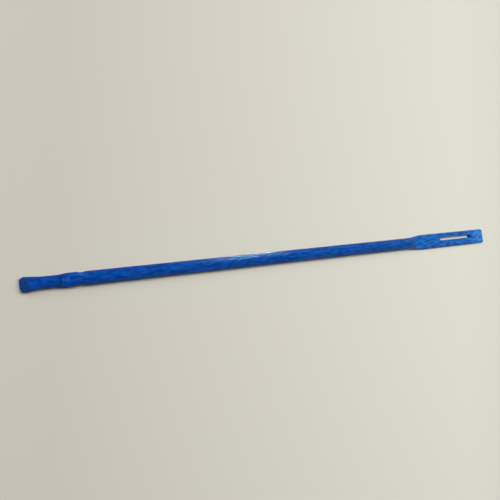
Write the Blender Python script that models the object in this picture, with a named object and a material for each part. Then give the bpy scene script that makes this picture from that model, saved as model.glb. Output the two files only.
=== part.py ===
"""Cleaning rod for a flute, printed in blue plastic as three sections glued end to end.

The rod lies along X with its handle at -X and its cloth eye at +X. It rests on a narrow flat that runs
along its underside, so the lowest point is Z = 0 and the origin is below the middle of its length.
Stations along the rod are distances from the butt of the handle, in millimetres.
"""

import math

import bmesh
import bpy

MM = 0.001

# Driving dimensions, in millimetres.
ROD_LENGTH = 337.0
SHAFT_DIAMETER = 6.0
BED_FLAT_DEPTH = 0.2        # what the flat underside takes off a full circle
SIDES = 36                  # corners of each cross section
ASSEMBLY_GAP = 0.3          # between two sections, where the glue sits

# Handle: a waisted grip that ends in a bead, then a narrower neck.
BUTT_DIAMETER = 6.25
WAIST_DIAMETER = 5.2
BEAD_DIAMETER = 6.1
NECK_DIAMETER = 5.5
BUTT_ROUND = 0.4
WAIST_FROM, WAIST_TO = 10.5, 16.5
BEAD_FROM, BEAD_TO = 23.5, 26.9
NECK_FROM, NECK_TO = 28.2, 31.6
SHOULDER_LENGTH = 0.45      # the shaft rounds up from the neck's diameter over this length

# Glued joints: a round spigot on each end section fits a blind socket in the shaft.
SPIGOT_DIAMETER = 3.0
SPIGOT_LENGTH = 8.0
SPIGOT_CHAMFER = 0.4

# Cloth eye: the round rod flares into a flat paddle with a long slot and a tip that thins out. The
# paddle's underside continues the flat along the rod.
EYE_FROM = 258.0
FLARE_FROM, FLARE_TO = 259.5, 276.0
RAMP_FROM, RAMP_TO = 262.0, 268.0
PADDLE_WIDTH = 8.25
PADDLE_THICKNESS = 2.6
FLANK_HEIGHT = 4.0          # full height of the ellipse that rounds the paddle's flanks
TAPER_FROM = 324.0
TIP_THICKNESS = 1.8
TIP_CORNER = 0.6
SLOT_FROM, SLOT_TO = 292.0, 323.3
SLOT_WIDTH = 1.6
SLOT_OFFSET = 0.6           # how far the slot lies to the +Y side of the middle

# Cross sections along curved stretches.
GRIP_SECTIONS = 22
SHAFT_SECTIONS = 10
ROUND_SECTIONS = 5          # over each quarter round
FLARE_SECTIONS = 14
SLOT_END_SIDES = 12
SHARP_ANGLE = 35            # degrees between two faces that meet in a sharp edge

RADIUS = SHAFT_DIAMETER / 2
AXIS_HEIGHT = RADIUS - BED_FLAT_DEPTH
SOCKET_RADIUS = SPIGOT_DIAMETER / 2 + ASSEMBLY_GAP
SOCKET_DEPTH = SPIGOT_LENGTH + ASSEMBLY_GAP


def clear_scene():
    for item in list(bpy.data.objects):
        bpy.data.objects.remove(item, do_unlink=True)


def plastic(name, colour, roughness):
    material = bpy.data.materials.new(name)
    material.use_nodes = True
    shader = material.node_tree.nodes["Principled BSDF"]
    shader.inputs["Base Color"].default_value = (*colour, 1.0)
    shader.inputs["Roughness"].default_value = roughness
    shader.inputs["Metallic"].default_value = 0.0
    return material


def smooth_step(start, end, share):
    """Value that leaves start and reaches end with no kink, for a share from 0 to 1."""
    share = min(max(share, 0.0), 1.0)
    return start + (end - start) * share * share * (3 - 2 * share)


def between(start, end, count):
    """Evenly spaced stations from start to end, both included."""
    return [start + (end - start) * step / (count - 1) for step in range(count)]


def ring(station, half_width, half_height, middle, top):
    """Corners of one cross section: an ellipse around that middle height, cut flat at Z = 0 and top."""
    corners = []
    for side in range(SIDES):
        angle = 2 * math.pi * side / SIDES
        y = half_width * math.cos(angle)
        z = min(max(middle + half_height * math.sin(angle), 0.0), top)
        corners.append(((station - ROD_LENGTH / 2) * MM, y * MM, z * MM))
    return corners


def round_ring(station, radius):
    """Cross section of a turned stretch, which the flat underside cuts where it reaches that low."""
    return ring(station, radius, radius, AXIS_HEIGHT, AXIS_HEIGHT + radius)


def skin(name, rings, material):
    """One closed object through a chain of cross sections, with a cap on the first and on the last."""
    shape = bmesh.new()
    loops = [[shape.verts.new(corner) for corner in corners] for corners in rings]
    for low, high in zip(loops, loops[1:]):
        for side in range(SIDES):
            after = (side + 1) % SIDES
            shape.faces.new((low[side], low[after], high[after], high[side]))
    shape.faces.new(reversed(loops[0]))
    shape.faces.new(loops[-1])
    bmesh.ops.recalc_face_normals(shape, faces=shape.faces)
    mesh = bpy.data.meshes.new(name)
    shape.to_mesh(mesh)
    shape.free()
    mesh.materials.append(material)
    mesh.shade_smooth()
    mesh.set_sharp_from_angle(angle=math.radians(SHARP_ANGLE))
    item = bpy.data.objects.new(name, mesh)
    bpy.context.scene.collection.objects.link(item)
    return item


def handle_radius(station):
    """Radius of the grip between its butt and the end of its bead."""
    waist = WAIST_DIAMETER / 2
    if station < WAIST_FROM:
        return smooth_step(BUTT_DIAMETER / 2, waist, station / WAIST_FROM)
    return smooth_step(waist, BEAD_DIAMETER / 2, (station - WAIST_TO) / (BEAD_FROM - WAIST_TO))


def quarter_round(from_station, to_station, from_radius, to_radius):
    """Cross sections of a convex quarter round that ends or starts square to the axis."""
    rings = []
    for step in range(ROUND_SECTIONS):
        angle = math.pi / 2 * step / (ROUND_SECTIONS - 1)
        if to_radius > from_radius:
            along, rise = 1 - math.cos(angle), math.sin(angle)
        else:
            along, rise = math.sin(angle), 1 - math.cos(angle)
        station = from_station + (to_station - from_station) * along
        rings.append(round_ring(station, from_radius + (to_radius - from_radius) * rise))
    return rings


def spigot(root, direction):
    """Cross sections of a spigot from its root outwards; direction is +1 or -1 along the rod."""
    radius = SPIGOT_DIAMETER / 2
    end = root + direction * SPIGOT_LENGTH
    return [
        round_ring(root, radius),
        round_ring(end - direction * SPIGOT_CHAMFER, radius),
        round_ring(end, radius - SPIGOT_CHAMFER),
    ]


def make_handle_grip(material):
    rings = quarter_round(0.0, BUTT_ROUND, BUTT_DIAMETER / 2 - BUTT_ROUND, handle_radius(BUTT_ROUND))
    for station in between(BUTT_ROUND, BEAD_TO, GRIP_SECTIONS)[1:]:
        rings.append(round_ring(station, handle_radius(station)))
    rings += quarter_round(BEAD_TO, NECK_FROM, BEAD_DIAMETER / 2, NECK_DIAMETER / 2)[1:]
    rings.append(round_ring(NECK_TO, NECK_DIAMETER / 2))
    rings += spigot(NECK_TO, 1)
    return skin("handle_grip", rings, material)


def make_shaft(material):
    start = NECK_TO + ASSEMBLY_GAP
    end = EYE_FROM - ASSEMBLY_GAP
    rings = [round_ring(start + SOCKET_DEPTH, SOCKET_RADIUS), round_ring(start, SOCKET_RADIUS)]
    full = start + SHOULDER_LENGTH
    rings += quarter_round(start, full, NECK_DIAMETER / 2, RADIUS)
    rings += [round_ring(station, RADIUS) for station in between(full, end, SHAFT_SECTIONS)[1:]]
    rings += [round_ring(end, SOCKET_RADIUS), round_ring(end - SOCKET_DEPTH, SOCKET_RADIUS)]
    return skin("shaft", rings, material)


def eye_ring(station):
    """Cross section of the eye: a circle that widens and flattens while its top is ramped down."""
    spread = (station - FLARE_FROM) / (FLARE_TO - FLARE_FROM)
    ramp = min(max((station - RAMP_FROM) / (RAMP_TO - RAMP_FROM), 0.0), 1.0)
    taper = max((station - TAPER_FROM) / (ROD_LENGTH - TAPER_FROM), 0.0)
    thinning = taper * (PADDLE_THICKNESS - TIP_THICKNESS)
    full_top = AXIS_HEIGHT + RADIUS
    top = full_top + (PADDLE_THICKNESS - full_top) * ramp - thinning
    middle = smooth_step(AXIS_HEIGHT, PADDLE_THICKNESS / 2, spread) - thinning / 2
    half_height = smooth_step(RADIUS, FLANK_HEIGHT / 2, spread) - thinning / 2
    corner = max(station - (ROD_LENGTH - TIP_CORNER), 0.0)
    half_width = smooth_step(RADIUS, PADDLE_WIDTH / 2, spread)
    half_width -= TIP_CORNER - math.sqrt(max(TIP_CORNER**2 - corner**2, 0.0))
    return ring(station, half_width, half_height, middle, top)


def slot_cutter():
    """Upright prism with round ends, as long and as wide as the slot, from under the rod to above it."""
    radius = SLOT_WIDTH / 2
    outline = []
    for centre, start in ((SLOT_TO - radius, -math.pi / 2), (SLOT_FROM + radius, math.pi / 2)):
        for step in range(SLOT_END_SIDES + 1):
            angle = start + math.pi * step / SLOT_END_SIDES
            outline.append((centre + radius * math.cos(angle), SLOT_OFFSET + radius * math.sin(angle)))
    shape = bmesh.new()
    corners = [
        shape.verts.new(((along - ROD_LENGTH / 2) * MM, across * MM, -RADIUS * MM))
        for along, across in outline
    ]
    base = shape.faces.new(corners)
    lifted = bmesh.ops.extrude_face_region(shape, geom=[base])["geom"]
    top = [vert for vert in lifted if isinstance(vert, bmesh.types.BMVert)]
    bmesh.ops.translate(shape, verts=top, vec=(0, 0, 2 * SHAFT_DIAMETER * MM))
    bmesh.ops.recalc_face_normals(shape, faces=shape.faces)
    mesh = bpy.data.meshes.new("slot_cutter")
    shape.to_mesh(mesh)
    shape.free()
    cutter = bpy.data.objects.new("slot_cutter", mesh)
    cutter.hide_render = True
    cutter.display_type = "WIRE"
    bpy.context.scene.collection.objects.link(cutter)
    return cutter


def make_eye_paddle(material):
    flare = between(FLARE_FROM, FLARE_TO, FLARE_SECTIONS)
    places = sorted({EYE_FROM, RAMP_FROM, RAMP_TO, TAPER_FROM, *flare})
    for step in range(ROUND_SECTIONS):
        angle = math.pi / 2 * step / (ROUND_SECTIONS - 1)
        places.append(ROD_LENGTH - TIP_CORNER + TIP_CORNER * math.sin(angle))
    rings = spigot(EYE_FROM, -1)[::-1] + [eye_ring(station) for station in places]
    item = skin("eye_paddle", rings, material)
    cut = item.modifiers.new("slot", "BOOLEAN")
    cut.operation = "DIFFERENCE"
    cut.solver = "EXACT"
    cut.object = slot_cutter()
    return item


def main():
    clear_scene()
    make_handle_grip(plastic("grip_plastic", (0.006, 0.075, 0.36), 0.42))
    make_shaft(plastic("shaft_plastic", (0.006, 0.08, 0.38), 0.38))
    make_eye_paddle(plastic("eye_plastic", (0.008, 0.10, 0.44), 0.45))


main()
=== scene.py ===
"""Looks of the flute cleaning rod: three sections printed lying down in blue plastic, layer upon layer.

Each CAD section is replaced by a skin that shows the rounded edges of its printed layers. Places along
the rod are stations: distances from the butt of the handle, in millimetres. Heights are in millimetres
above the table.
"""

import math
import random

import bpy
from mathutils import Matrix, Vector


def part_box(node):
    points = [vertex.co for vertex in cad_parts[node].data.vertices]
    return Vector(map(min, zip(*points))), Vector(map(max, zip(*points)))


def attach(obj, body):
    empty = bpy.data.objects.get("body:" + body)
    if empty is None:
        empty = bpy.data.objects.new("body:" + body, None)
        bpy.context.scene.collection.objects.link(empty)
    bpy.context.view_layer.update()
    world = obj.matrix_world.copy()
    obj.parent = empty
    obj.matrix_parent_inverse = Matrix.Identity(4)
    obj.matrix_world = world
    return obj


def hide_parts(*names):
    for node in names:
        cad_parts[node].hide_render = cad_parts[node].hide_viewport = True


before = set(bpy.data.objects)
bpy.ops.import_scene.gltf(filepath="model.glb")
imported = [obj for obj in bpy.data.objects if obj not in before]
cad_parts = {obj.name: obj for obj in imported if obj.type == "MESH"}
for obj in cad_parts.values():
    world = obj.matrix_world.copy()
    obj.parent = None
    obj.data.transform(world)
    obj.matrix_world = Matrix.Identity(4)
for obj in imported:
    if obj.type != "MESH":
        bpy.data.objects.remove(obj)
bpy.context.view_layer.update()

MM = 0.001

# Sizes read from the CAD frame.
GRIP_LOW, GRIP_HIGH = (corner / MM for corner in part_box("handle_grip"))
SHAFT_LOW, SHAFT_HIGH = (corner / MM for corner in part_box("shaft"))
EYE_LOW, EYE_HIGH = (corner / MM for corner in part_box("eye_paddle"))
BUTT_X = GRIP_LOW.x
ROD_LENGTH = EYE_HIGH.x - BUTT_X
SHAFT_FROM, SHAFT_TO = SHAFT_LOW.x - BUTT_X, SHAFT_HIGH.x - BUTT_X
SHAFT_RADIUS = (SHAFT_HIGH.y - SHAFT_LOW.y) / 2
AXIS_HEIGHT = SHAFT_HIGH.z - SHAFT_RADIUS
BUTT_RADIUS = (GRIP_HIGH.y - GRIP_LOW.y) / 2
PADDLE_HALF_WIDTH = (EYE_HIGH.y - EYE_LOW.y) / 2

# The rest of the profile, as in the CAD, in millimetres.
ASSEMBLY_GAP = 0.3
SPIGOT_RADIUS, SPIGOT_LENGTH, SPIGOT_CHAMFER = 1.5, 8.0, 0.4
SOCKET_RADIUS, SOCKET_DEPTH = 1.8, 8.3
BUTT_ROUND, SHOULDER_LENGTH = 0.4, 0.45
WAIST_RADIUS, WAIST_FROM, WAIST_TO = 2.6, 10.5, 16.5
BEAD_RADIUS, BEAD_FROM, BEAD_TO = 3.05, 23.5, 26.9
NECK_RADIUS, NECK_FROM = 2.75, 28.2
FLARE_FROM, FLARE_TO, RAMP_FROM, RAMP_TO = 259.5, 276.0, 262.0, 268.0
PADDLE_THICKNESS, FLANK_HALF_HEIGHT = 2.6, 2.0
TAPER_FROM, TIP_THICKNESS, TIP_CORNER = 324.0, 1.8, 0.6
SLOT_FROM, SLOT_TO, SLOT_RADIUS, SLOT_OFFSET = 292.0, 323.3, 0.8, 0.6

# How the sections were printed, in millimetres.
LAYER = 0.2                 # thickness of one layer
LAYERS = 30                 # as many as reach the top of the butt
NOSE = 0.05                 # how far the rounded edge of a layer curves back
NOSE_SHAPE = ((NOSE, 0.0), (0.0, 0.35), (0.0, 0.65), (NOSE, 1.0))    # (set back, share of the layer)
EDGE_POINTS = len(NOSE_SHAPE)
NARROWEST = 0.2             # half width of the thinnest layer that prints
LINE = 0.45                 # width of one extruded line
WALL_LINES = 2              # lines that follow an outline, before the zigzag fill starts
RIDGE = 0.014               # height of the lines on a top face
WANDER = 0.012              # how far the edge of a layer strays sideways
SLOW_DRIFT, FAST_DRIFT = 4.3, 1.4    # how quickly it strays, as lengths along the rod
FAST_SHARE = 0.6            # strength of the fast drift beside the slow one
FACE_POINTS = 2             # least number of corners across half of a top face or underside
GLUE_SEAM = 0.02            # what is left open between two glued sections
SHARP_ANGLE = 60            # degrees between two faces that meet in a sharp edge

# Distances between cross sections, in millimetres, and between corners of the slot's ends, in degrees.
SHAFT_STEP, GRIP_STEP, EYE_STEP, ROUND_STEP = 1.0, 0.3, 0.22, 0.08
SLOT_END_STEP = 12

# Camera: the photographer stood at the handle's end and held the picture sideways.
CAMERA_PLACE = (-0.4523, -0.0195, 0.4059)
CAMERA_AIM = (-0.0321, 0.0052, 0.0)
CAMERA_ROLL = 79.54         # degrees
CAMERA_LENS, CAMERA_SENSOR = 86.4, 36.0

# Table and backdrop. Distances are in metres.
FLOOR_SIZE = 8.0
# The table's colour carries painted light, from dimmer on the near side to lit on the far side.
TABLE_PAINTED_DIM, TABLE_PAINTED_LIT = (0.57, 0.545, 0.475, 1), (0.83, 0.82, 0.71, 1)
PAINTED_LIGHT_SLANT = (1.0, -0.2, 0.0)       # the way in which the painted light on the table grows
PAINTED_LIGHT_REACH = 0.15                   # how far out from the middle the painted light grows
FADE_FROM, FADE_TO = 0.3, 0.8        # where the table passes into the backdrop
BACKDROP = (0.66, 0.65, 0.60, 1)
AMBIENT = (0.03, 0.03, 0.029, 1)
BLACK = (0.0, 0.0, 0.0, 1)


# ---- Helpers ----

def smooth_step(start, end, share):
    """Value that leaves start and reaches end with no kink, for a share from 0 to 1."""
    share = min(max(share, 0.0), 1.0)
    return start + (end - start) * share * share * (3 - 2 * share)


def round_loss(radius, depth):
    """How much a quarter round takes off, at a depth into it that runs from 0 to its radius."""
    depth = min(max(depth, 0.0), radius)
    return radius - math.sqrt(radius**2 - depth**2)


def stations(start, end, step):
    """Evenly spaced stations from start to end, both included, about one step apart."""
    count = max(round((end - start) / step), 1)
    return [start + (end - start) * index / count for index in range(count + 1)]


# ---- Profiles: half width, half height, middle and top of an ellipse that is cut flat below ----

def round_profile(radius):
    return radius, radius, AXIS_HEIGHT, AXIS_HEIGHT + radius


def grip_profile(station):
    if station > BEAD_TO:
        fall = round_loss(1.0, (station - BEAD_TO) / (NECK_FROM - BEAD_TO))
        return round_profile(BEAD_RADIUS + (NECK_RADIUS - BEAD_RADIUS) * fall)
    if station > WAIST_FROM:
        rise = (station - WAIST_TO) / (BEAD_FROM - WAIST_TO)
        return round_profile(smooth_step(WAIST_RADIUS, BEAD_RADIUS, rise))
    radius = smooth_step(BUTT_RADIUS, WAIST_RADIUS, station / WAIST_FROM)
    return round_profile(radius - round_loss(BUTT_ROUND, BUTT_ROUND - station))


def shaft_profile(station):
    short = round_loss(1.0, (SHAFT_FROM + SHOULDER_LENGTH - station) / SHOULDER_LENGTH)
    return round_profile(SHAFT_RADIUS - (SHAFT_RADIUS - NECK_RADIUS) * short)


def eye_profile(station):
    spread = (station - FLARE_FROM) / (FLARE_TO - FLARE_FROM)
    ramp = min(max((station - RAMP_FROM) / (RAMP_TO - RAMP_FROM), 0.0), 1.0)
    taper = max((station - TAPER_FROM) / (ROD_LENGTH - TAPER_FROM), 0.0)
    thinning = taper * (PADDLE_THICKNESS - TIP_THICKNESS)
    half_width = smooth_step(SHAFT_RADIUS, PADDLE_HALF_WIDTH, spread)
    half_width -= round_loss(TIP_CORNER, station - (ROD_LENGTH - TIP_CORNER))
    half_height = smooth_step(SHAFT_RADIUS, FLANK_HALF_HEIGHT, spread) - thinning / 2
    middle = smooth_step(AXIS_HEIGHT, PADDLE_THICKNESS / 2, spread) - thinning / 2
    full_top = AXIS_HEIGHT + SHAFT_RADIUS
    top = full_top + (PADDLE_THICKNESS - full_top) * ramp - thinning
    return half_width, half_height, middle, top


# ---- Ridges on the top faces and undersides ----

def plain_face(station, across, reach, level):
    return 0.0


def filled_face(station, across, reach, level):
    """Ridges of the paddle's faces: lines that follow each outline, and a zigzag fill within them."""
    if station < RAMP_FROM:
        return 0.0
    slot_middle = min(max(station, SLOT_FROM + SLOT_RADIUS), SLOT_TO - SLOT_RADIUS)
    from_slot = math.hypot(station - slot_middle, across - SLOT_OFFSET) - SLOT_RADIUS
    inside = min(reach - abs(across), ROD_LENGTH - station, abs(from_slot))
    if inside < WALL_LINES * LINE:
        return -RIDGE * math.cos(2 * math.pi * inside / LINE)
    lean = 1 if level % 2 else -1
    return -RIDGE * math.cos(2 * math.pi * (station + lean * across) / (math.sqrt(2) * LINE))


# ---- Cross sections made of printed layers ----

class Printer:
    """Makes the cross sections of one printed section, whose layer edges all stray a little."""

    def __init__(self, seed, ridges=plain_face):
        draw = random.Random(seed)
        self.ridges = ridges
        self.shift = [draw.uniform(-WANDER, WANDER) for _ in range(LAYERS)]
        self.phase = {
            (level, side): draw.uniform(0, 2 * math.pi) for level in range(LAYERS) for side in (1, -1)
        }

    def stray(self, level, side, station):
        """Sideways error of one layer's edge, which drifts slowly along the rod."""
        phase = self.phase[level, side]
        slow = math.sin(station / SLOW_DRIFT + phase)
        fast = math.sin(station / FAST_DRIFT + 3 * phase)
        return self.shift[level] + WANDER * (slow + FAST_SHARE * fast)

    def half_widths(self, profile):
        """The half width of each layer that a cross section holds, by level."""
        half_width, half_height, middle, top = profile
        found = {}
        for level in range(LAYERS):
            height = (level + 0.5) * LAYER
            if height < top and abs(height - middle) < half_height:
                half = half_width * math.sqrt(1 - ((height - middle) / half_height) ** 2)
                if half >= NARROWEST:
                    found[level] = half
        return found

    def face(self, station, side, count, reach, level, height):
        """Corners (across, height) over half of a top face or an underside, from the middle outwards."""
        places = [reach * (index + 0.5) / count for index in range(count)]
        return [(y, height + self.ridges(station, side * y, reach, level)) for y in places]

    def half_section(self, station, widths, side):
        """Corners (across, height) of one side, from the middle of the underside to the middle of the top.

        Each layer gives EDGE_POINTS corners to its rounded edge. Those of the layers that this cross
        section lacks are spread over its flat top and underside, so every cross section has as many.
        """
        halves = {level: half + self.stray(level, side, station) for level, half in widths.items()}
        low, high = min(halves), max(halves)
        under = EDGE_POINTS * low + FACE_POINTS
        over = EDGE_POINTS * (LAYERS - 1 - high) + FACE_POINTS
        corners = self.face(station, side, under, halves[low] - NOSE, low, low * LAYER)
        for level, half in halves.items():
            corners += [(half - back, (level + rise) * LAYER) for back, rise in NOSE_SHAPE]
        top = self.face(station, side, over, halves[high] - NOSE, high, (high + 1) * LAYER)
        return corners + top[::-1]

    def section(self, station, profile, facing=0):
        """A cross section: its corners in metres, and the first and last of those on a layer's edge.

        The corners go up the +Y side and down the -Y side. facing is the way that an end face looks
        along the rod, +1 or -1: there the seams between layers lie a little deeper than the layers.
        """
        widths = self.half_widths(profile)
        first = EDGE_POINTS * min(widths) + FACE_POINTS
        last = first + EDGE_POINTS * len(widths) - 1
        sides = []
        for side in (1, -1):
            points = []
            for index, (across, height) in enumerate(self.half_section(station, widths, side)):
                on_seam = not first < index < last or (index - first) % EDGE_POINTS in (0, EDGE_POINTS - 1)
                x = BUTT_X + station - (facing * NOSE if on_seam else 0)
                points.append((x * MM, side * across * MM, height * MM))
            sides.append(points)
        right, left = sides
        return right + left[::-1], first, last


def end_face(count, first, last, offset):
    """Faces that close a cross section: a strip from side to side for each step up a layer's edge."""
    def strip(low, high):
        right = [offset + index for index in range(low, high + 1)]
        left = [offset + count - 1 - index for index in range(high, low - 1, -1)]
        return right + left

    strips = [strip(0, first + 1)]
    strips += [strip(index, index + 1) for index in range(first + 1, last - 1)]
    strips.append(strip(last - 1, count // 2 - 1))
    return strips


def skin(name, sections, material):
    """One closed piece through a chain of cross sections."""
    count = len(sections[0][0])
    faces = [strip[::-1] for strip in end_face(count, *sections[0][1:], 0)]
    for ring in range(len(sections) - 1):
        low, high = ring * count, (ring + 1) * count
        for index in range(count):
            after = (index + 1) % count
            faces.append((low + index, low + after, high + after, high + index))
    faces += end_face(count, *sections[-1][1:], (len(sections) - 1) * count)
    mesh = bpy.data.meshes.new(name)
    mesh.from_pydata([point for corners, _, _ in sections for point in corners], [], faces)
    mesh.materials.append(material)
    mesh.shade_smooth()
    mesh.set_sharp_from_angle(angle=math.radians(SHARP_ANGLE))
    piece = bpy.data.objects.new(name, mesh)
    bpy.context.scene.collection.objects.link(piece)
    return piece


# ---- The three printed sections ----

GRIP_SEAM = SHAFT_FROM - ASSEMBLY_GAP / 2
EYE_SEAM = SHAFT_TO + ASSEMBLY_GAP / 2


def spigot(printer, seam, root, facing):
    """Cross sections of a glued spigot, from the face around its root to its chamfered end."""
    end = root + facing * SPIGOT_LENGTH
    return [
        printer.section(seam, round_profile(SPIGOT_RADIUS)),
        printer.section(end - facing * SPIGOT_CHAMFER, round_profile(SPIGOT_RADIUS)),
        printer.section(end, round_profile(SPIGOT_RADIUS - SPIGOT_CHAMFER)),
    ]


def make_grip(material):
    printer = Printer("grip")
    end = GRIP_SEAM - GLUE_SEAM / 2
    sections = [printer.section(0.0, grip_profile(0.0), facing=-1)]
    for station in stations(0.0, BUTT_ROUND, ROUND_STEP)[1:] + stations(BUTT_ROUND, end, GRIP_STEP)[1:]:
        sections.append(printer.section(station, grip_profile(station)))
    sections += spigot(printer, end, SHAFT_FROM - ASSEMBLY_GAP, 1)
    return skin("printed_grip", sections, material)


def make_shaft(material):
    printer = Printer("shaft")
    start = GRIP_SEAM + GLUE_SEAM / 2
    end = EYE_SEAM - GLUE_SEAM / 2
    round_end = SHAFT_FROM + SHOULDER_LENGTH
    socket = round_profile(SOCKET_RADIUS)
    sections = [printer.section(start + SOCKET_DEPTH, socket), printer.section(start, socket)]
    for station in stations(start, round_end, ROUND_STEP) + stations(round_end, end, SHAFT_STEP)[1:]:
        sections.append(printer.section(station, shaft_profile(station)))
    sections += [printer.section(end, socket), printer.section(end - SOCKET_DEPTH, socket)]
    return skin("printed_shaft", sections, material)


def slot_cutter():
    """Upright plug with the slot's outline, ribbed where it meets the seams between layers."""
    heights = [(-LAYER, NOSE)]
    for level in range(LAYERS):
        heights += [((level + rise) * LAYER, back) for back, rise in NOSE_SHAPE[:-1]]
    outline = []
    for centre, start in ((SLOT_TO - SLOT_RADIUS, -90), (SLOT_FROM + SLOT_RADIUS, 90)):
        outline += [(centre, math.radians(angle)) for angle in range(start, start + 181, SLOT_END_STEP)]
    points = []
    for height, back in heights:
        radius = SLOT_RADIUS + back
        for centre, angle in outline:
            x = BUTT_X + centre + radius * math.cos(angle)
            y = SLOT_OFFSET + radius * math.sin(angle)
            points.append((x * MM, y * MM, height * MM))
    count = len(outline)
    faces = [list(range(count))[::-1]]
    for ring in range(len(heights) - 1):
        low, high = ring * count, (ring + 1) * count
        for index in range(count):
            after = (index + 1) % count
            faces.append((low + index, low + after, high + after, high + index))
    faces.append([len(points) - count + index for index in range(count)])
    mesh = bpy.data.meshes.new("slot_cutter")
    mesh.from_pydata(points, [], faces)
    cutter = bpy.data.objects.new("slot_cutter", mesh)
    bpy.context.scene.collection.objects.link(cutter)
    return cutter


def make_eye(material):
    printer = Printer("eye", filled_face)
    start = EYE_SEAM + GLUE_SEAM / 2
    root = SHAFT_TO + ASSEMBLY_GAP
    sections = spigot(printer, start, root, -1)[::-1]
    inner = stations(start, ROD_LENGTH - TIP_CORNER, EYE_STEP)
    outer = stations(ROD_LENGTH - TIP_CORNER, ROD_LENGTH, ROUND_STEP)
    for station in inner + outer[1:-1]:
        sections.append(printer.section(station, eye_profile(station)))
    sections.append(printer.section(ROD_LENGTH, eye_profile(ROD_LENGTH), facing=1))
    piece = skin("printed_eye", sections, material)
    cutter = slot_cutter()
    cut = piece.modifiers.new("slot", "BOOLEAN")
    cut.operation = "DIFFERENCE"
    cut.solver = "MANIFOLD"
    cut.object = cutter
    graph = bpy.context.evaluated_depsgraph_get()
    piece.data = bpy.data.meshes.new_from_object(piece.evaluated_get(graph))
    piece.modifiers.clear()
    piece.data.set_sharp_from_angle(angle=math.radians(SHARP_ANGLE))
    bpy.data.objects.remove(cutter)
    return piece


# ---- Materials ----

class Graph:
    """Short calls for building the nodes of one material."""

    def __init__(self, name):
        self.material = bpy.data.materials.new(name)
        self.material.use_nodes = True
        self.tree = self.material.node_tree
        self.shader = self.tree.nodes["Principled BSDF"]

    def feed(self, socket, value):
        if isinstance(value, bpy.types.NodeSocket):
            self.tree.links.new(value, socket)
        else:
            socket.default_value = value

    def add(self, kind, inputs, **settings):
        node = self.tree.nodes.new(kind)
        for name, value in settings.items():
            setattr(node, name, value)
        for key, value in inputs.items():
            self.feed(node.inputs[key], value)
        return node

    def math(self, operation, *values):
        return self.add("ShaderNodeMath", dict(enumerate(values)), operation=operation).outputs[0]

    def noise(self, place, stretch, detail):
        """Noise from 0 to 1, whose grains are 1 / stretch long along X, Y and Z."""
        scaled = self.add("ShaderNodeVectorMath", {0: place, 1: stretch}, operation="MULTIPLY")
        inputs = {"Vector": scaled.outputs[0], "Scale": 1.0, "Detail": detail}
        return self.add("ShaderNodeTexNoise", inputs).outputs["Fac"]

    def remap(self, value, low, high, new_low, new_high):
        """Value moved from the range low..high to new_low..new_high, and held inside it."""
        inputs = {0: value, 1: low, 2: high, 3: new_low, 4: new_high}
        return self.add("ShaderNodeMapRange", inputs).outputs[0]

    def mix(self, factor, first, second):
        """Blend of two colours. A Mix node's colour sockets are 6 and 7, and its colour result is 2."""
        inputs = {0: factor, 6: first, 7: second}
        return self.add("ShaderNodeMix", inputs, data_type="RGBA").outputs[2]

    def dot(self, place, direction):
        inputs = {0: place, 1: direction}
        return self.add("ShaderNodeVectorMath", inputs, operation="DOT_PRODUCT").outputs["Value"]


DEEP_BLUE = (0.001, 0.032, 0.210, 1)
BRIGHT_BLUE = (0.003, 0.074, 0.400, 1)
# Blue for whitening by wear, partly, and for painted light on faces that look up, partly.
WORN_AND_LIT_BLUE = (0.030, 0.260, 0.800, 1)

PLASTIC_GLOSS = (0.06, 0.09)         # least and most roughness
PLASTIC_SPECULAR = 0.15
BUMP_HEIGHT = 0.04                   # millimetres

# Grains of the plastic's noises: they are 1 / these numbers of millimetres long along X, Y and Z.
STREAKS, MOTTLE = (0.1, 2.5, 5.0), (0.22, 0.9, 0.9)
LINES, DRIFT = (0.04, 5.0, 5.0), (0.3, 0.8, 0.8)
ZIGZAG_SLOPE = (2.1, 3.0, 0.0)       # radians per millimetre along X, Y and Z
ZIGZAG_DRIFT, ZIGZAG_SHARE = 6.0, 0.3
WEAR_AND_LIGHT_SPREAD = (0.35, 1.65)      # least and most wear and painted light, beside its mean
TOP_LIGHT_FROM, TOP_LIGHT_TO = 0.2, 0.9      # how far up a face looks where the wear and painted light start, and are whole

# How much wear and painted light the faces that look up get along each section: (station, share from 0 to
# 1).
GRIP_WEAR_AND_LIGHT = ((0.0, 0.00), (SHAFT_FROM, 0.03))
SHAFT_WEAR_AND_LIGHT = ((SHAFT_FROM, 0.03), (SHAFT_TO, 0.16))
# The tip is painted lightest: partly wear, partly a painted sheen.
TIP_WEAR_AND_SHEEN_FROM = ROD_LENGTH - 6.0
EYE_WEAR_AND_LIGHT = ((SHAFT_TO, 0.16), (RAMP_TO, 0.37), (SLOT_TO, 0.43), (TIP_WEAR_AND_SHEEN_FROM, 0.95))


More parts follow.
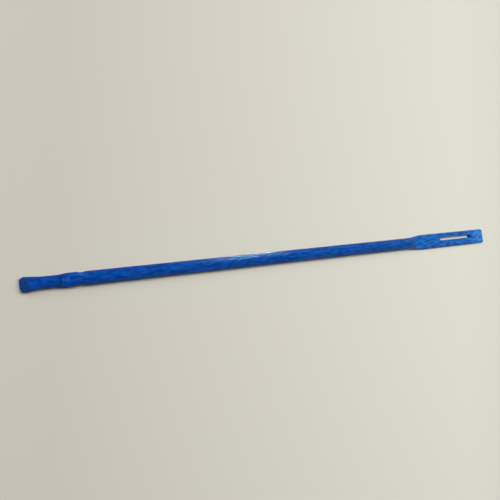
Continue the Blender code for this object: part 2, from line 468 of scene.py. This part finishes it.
def printed_plastic(name, wear_and_light):
    """Blue plastic drawn out in lines along the rod, whitened here and there by wear and by painted light.

    Noise stays close to 0.5, so the middle of its range is widened to the whole of it.
    """
    graph = Graph(name)
    place = graph.add("ShaderNodeTexCoord", {}).outputs["Object"]
    place = graph.add("ShaderNodeVectorMath", {0: place, "Scale": 1 / MM}, operation="SCALE").outputs[0]
    along = graph.add("ShaderNodeSeparateXYZ", {0: place}).outputs["X"]
    streaks = graph.noise(place, STREAKS, 2.0)
    mottle = graph.remap(graph.noise(place, MOTTLE, 3.0), 0.35, 0.65, 0.0, 1.0)
    tone = graph.math("ADD", graph.math("MULTIPLY", streaks, 0.5), graph.math("MULTIPLY", mottle, 0.5))
    colour = graph.mix(graph.remap(tone, 0.25, 0.75, 0.0, 1.0), DEEP_BLUE, BRIGHT_BLUE)
    worn_and_lit = wear_and_light[0][1]
    # Partly painted light: the share grows towards the paddle and the tip, which catch more light, besides
    # wear.
    for (start, less), (end, more) in zip(wear_and_light, wear_and_light[1:]):
        rise = graph.remap(along, BUTT_X + start, BUTT_X + end, 0.0, more - less)
        worn_and_lit = graph.math("ADD", worn_and_lit, rise)
    worn_and_lit = graph.math("MULTIPLY", worn_and_lit, graph.remap(mottle, 0.0, 1.0, *WEAR_AND_LIGHT_SPREAD))
    # Painted light and shade: only faces that look up get lighter; upright faces, such as the slot's end
    # wall, stay dark as painted shade.
    upward = graph.dot(graph.add("ShaderNodeNewGeometry", {}).outputs["Normal"], (0.0, 0.0, 1.0))
    worn_and_lit = graph.math("MULTIPLY", worn_and_lit, graph.remap(upward, TOP_LIGHT_FROM, TOP_LIGHT_TO, 0.0, 1.0))
    graph.feed(graph.shader.inputs["Base Color"], graph.mix(worn_and_lit, colour, WORN_AND_LIT_BLUE))
    graph.feed(graph.shader.inputs["Roughness"], graph.remap(mottle, 0.0, 1.0, *PLASTIC_GLOSS))
    graph.shader.inputs["Specular IOR Level"].default_value = PLASTIC_SPECULAR
    lines = graph.noise(place, LINES, 1.0)
    slant = graph.dot(place, ZIGZAG_SLOPE)
    drift = graph.math("MULTIPLY", graph.noise(place, DRIFT, 1.0), ZIGZAG_DRIFT)
    zigzag = graph.math("SINE", graph.math("ADD", slant, drift))
    height = graph.math("ADD", lines, graph.math("MULTIPLY", zigzag, ZIGZAG_SHARE))
    bump = graph.add("ShaderNodeBump", {"Strength": 1.0, "Distance": BUMP_HEIGHT * MM, "Height": height})
    graph.feed(graph.shader.inputs["Normal"], bump.outputs[0])
    return graph.material


def table_top():
    """Pale table with painted light: a little lighter towards its far side, and glowing like the backdrop
    far out.
    """
    graph = Graph("table_top")
    place = graph.add("ShaderNodeTexCoord", {}).outputs["Object"]
    # Painted light: lighter towards the far side.
    painted_lit = graph.remap(graph.dot(place, PAINTED_LIGHT_SLANT), -PAINTED_LIGHT_REACH, PAINTED_LIGHT_REACH, 0.0, 1.0)
    colour = graph.mix(painted_lit, TABLE_PAINTED_DIM, TABLE_PAINTED_LIT)
    away = graph.add("ShaderNodeVectorMath", {0: place}, operation="LENGTH").outputs["Value"]
    far = graph.remap(away, FADE_FROM, FADE_TO, 0.0, 1.0)
    graph.feed(graph.shader.inputs["Base Color"], graph.mix(far, colour, BLACK))
    graph.feed(graph.shader.inputs["Emission Strength"], far)
    graph.shader.inputs["Emission Color"].default_value = BACKDROP
    graph.shader.inputs["Roughness"].default_value = 0.8
    graph.shader.inputs["Specular IOR Level"].default_value = 0.0
    return graph.material


# ---- Floor, light and camera ----

def make_floor():
    bpy.ops.mesh.primitive_plane_add(size=FLOOR_SIZE)
    floor = bpy.context.object
    floor.name = "floor"
    floor.data.materials.append(table_top())
    return floor


def soft_light(name, place, aim, size, power):
    """Rectangular lamp of that width and height in metres, turned to a point and not seen itself."""
    lamp = bpy.data.lights.new(name, "AREA")
    lamp.shape = "RECTANGLE"
    lamp.size, lamp.size_y = size
    lamp.energy = power
    item = bpy.data.objects.new(name, lamp)
    item.location = place
    item.rotation_euler = (Vector(aim) - Vector(place)).to_track_quat("-Z", "Y").to_euler()
    item.visible_camera = False
    bpy.context.scene.collection.objects.link(item)
    return item


def make_lights():
    """Three broad lamps, and a tiny near one that only glossy reflections see."""
    soft_light("overhead", (-0.15, 0.22, 1.15), (-0.15, 0.0, 0.0), (1.05, 0.5), 12.6)
    soft_light("camera_side", (-1.15, 0.5, 0.75), (0.0, 0.0, 0.0), (0.6, 0.5), 6.0)
    soft_light("far_window", (1.5, 0.25, 0.5), (0.0, 0.0, 0.0), (1.3, 0.5), 2.0)
    glint = soft_light("glint", (0.1745, 0.172, 0.124), (-0.035, 0.0, 0.003), (0.012, 0.012), 0.42)
    glint.data.color = (0.6, 1.0, 1.0)
    glint.visible_diffuse = False


def make_world():
    """Dim light from all round, behind a plain pale backdrop."""
    world = bpy.data.worlds.new("studio")
    world.use_nodes = True
    tree = world.node_tree
    ambient = tree.nodes["Background"]
    ambient.inputs["Color"].default_value = AMBIENT
    backdrop = tree.nodes.new("ShaderNodeBackground")
    backdrop.inputs["Color"].default_value = BACKDROP
    ray = tree.nodes.new("ShaderNodeLightPath")
    either = tree.nodes.new("ShaderNodeMixShader")
    tree.links.new(ray.outputs["Is Camera Ray"], either.inputs["Fac"])
    tree.links.new(ambient.outputs[0], either.inputs[1])
    tree.links.new(backdrop.outputs[0], either.inputs[2])
    tree.links.new(either.outputs[0], tree.nodes["World Output"].inputs["Surface"])
    bpy.context.scene.world = world


def make_camera():
    data = bpy.data.cameras.new("camera")
    data.lens = CAMERA_LENS
    data.sensor_width = CAMERA_SENSOR
    data.clip_start = 0.01
    camera = bpy.data.objects.new("camera", data)
    bpy.context.scene.collection.objects.link(camera)
    direction = Vector(CAMERA_AIM) - Vector(CAMERA_PLACE)
    upright = direction.to_track_quat("-Z", "Y").to_matrix()
    turned = upright @ Matrix.Rotation(math.radians(CAMERA_ROLL), 3, "Z")
    camera.matrix_world = Matrix.Translation(CAMERA_PLACE) @ turned.to_4x4()
    bpy.context.scene.camera = camera


def main():
    scene = bpy.context.scene
    scene.view_settings.view_transform = "Standard"
    pieces = {
        "handle_grip": make_grip(printed_plastic("grip_plastic", GRIP_WEAR_AND_LIGHT)),
        "shaft": make_shaft(printed_plastic("shaft_plastic", SHAFT_WEAR_AND_LIGHT)),
        "eye_paddle": make_eye(printed_plastic("eye_plastic", EYE_WEAR_AND_LIGHT)),
    }
    for node, piece in pieces.items():
        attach(piece, "root")
        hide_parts(node)
    make_floor()
    make_lights()
    make_world()
    make_camera()


main()
